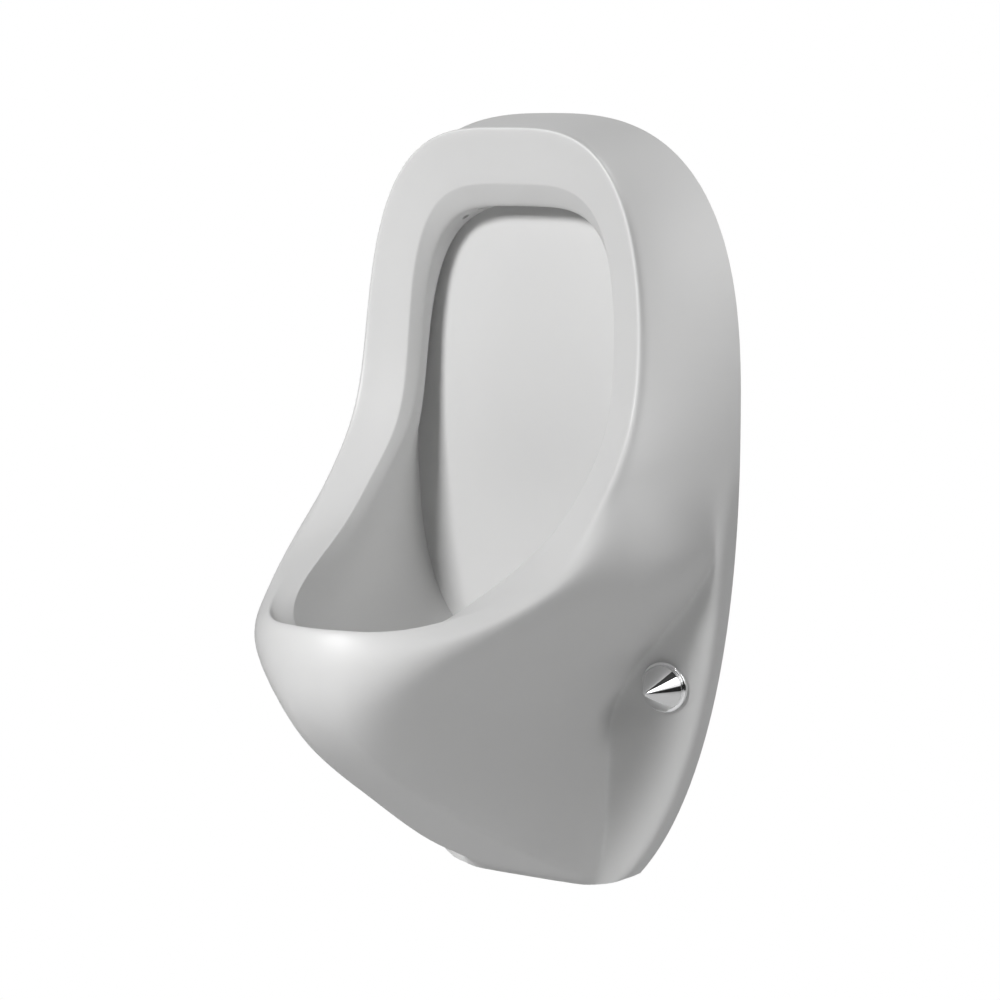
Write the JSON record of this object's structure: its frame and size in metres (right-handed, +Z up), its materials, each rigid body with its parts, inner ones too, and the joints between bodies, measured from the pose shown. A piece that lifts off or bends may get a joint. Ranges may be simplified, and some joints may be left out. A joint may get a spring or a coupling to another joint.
{
  "type": "wall-hung urinal",
  "caption": "Arched glazed ceramic urinal with a projecting lip, a skirt over its trap, hidden wall hangers and conical chrome caps on its lower fixings.",
  "frame": {"origin": "on the wall plane, midway between the two lower wall fixings", "axes": "+X to the right of a person facing the wall, +Y into the wall, +Z up"},
  "size_m": [0.318, 0.3672, 0.565],
  "materials": {
    "glaze": "gloss white glaze",
    "rubber": "matt",
    "cap_chrome": "polished",
    "waste_steel": "brushed",
    "brass": "machined",
    "trap_plastic": "smooth white",
    "sleeve_plastic": "natural",
    "zinc_steel": "zinc plated"
  },
  "bodies": {
    "casting": {"ceramic_body": "glaze", "inlet_grommet": "rubber", "inlet_pipe": "brass", "left_cap_base": "cap_chrome", "left_fixing_bolt": "zinc_steel", "left_fixing_nut": "zinc_steel", "left_fixing_sleeve": "sleeve_plastic", "left_fixing_washer": "zinc_steel", "left_hanger_bracket": "zinc_steel", "left_hanger_screw": "zinc_steel", "right_cap_base": "cap_chrome", "right_fixing_bolt": "zinc_steel", "right_fixing_nut": "zinc_steel", "right_fixing_sleeve": "sleeve_plastic", "right_fixing_washer": "zinc_steel", "right_hanger_bracket": "zinc_steel", "right_hanger_screw": "zinc_steel", "trap_cup": "trap_plastic", "trap_cup_seal": "rubber", "trap_head": "trap_plastic", "trap_inlet_nut": "trap_plastic", "trap_inlet_seal": "rubber", "trap_outlet_nut": "trap_plastic", "trap_outlet_seal": "rubber", "waste_backnut": "brass", "waste_body": "waste_steel", "waste_lower_seal": "rubber", "waste_pipe": "trap_plastic", "waste_upper_seal": "rubber"},
    "strainer": {"drain_strainer": "waste_steel"},
    "left_cap": {"left_cover_cap": "cap_chrome"},
    "right_cap": {"right_cover_cap": "cap_chrome"}
  },
  "joints": [
    {"name": "strainer_lift", "type": "slide", "parent": "casting", "child": "strainer", "axis": [0, 0, 1], "range_m": [0, 0.12]},
    {"name": "left_cap_pull", "type": "slide", "parent": "casting", "child": "left_cap", "axis": [0, -1, 0], "range_m": [0, 0.04]},
    {"name": "right_cap_pull", "type": "slide", "parent": "casting", "child": "right_cap", "axis": [0, -1, 0], "range_m": [0, 0.04]}
  ]
}
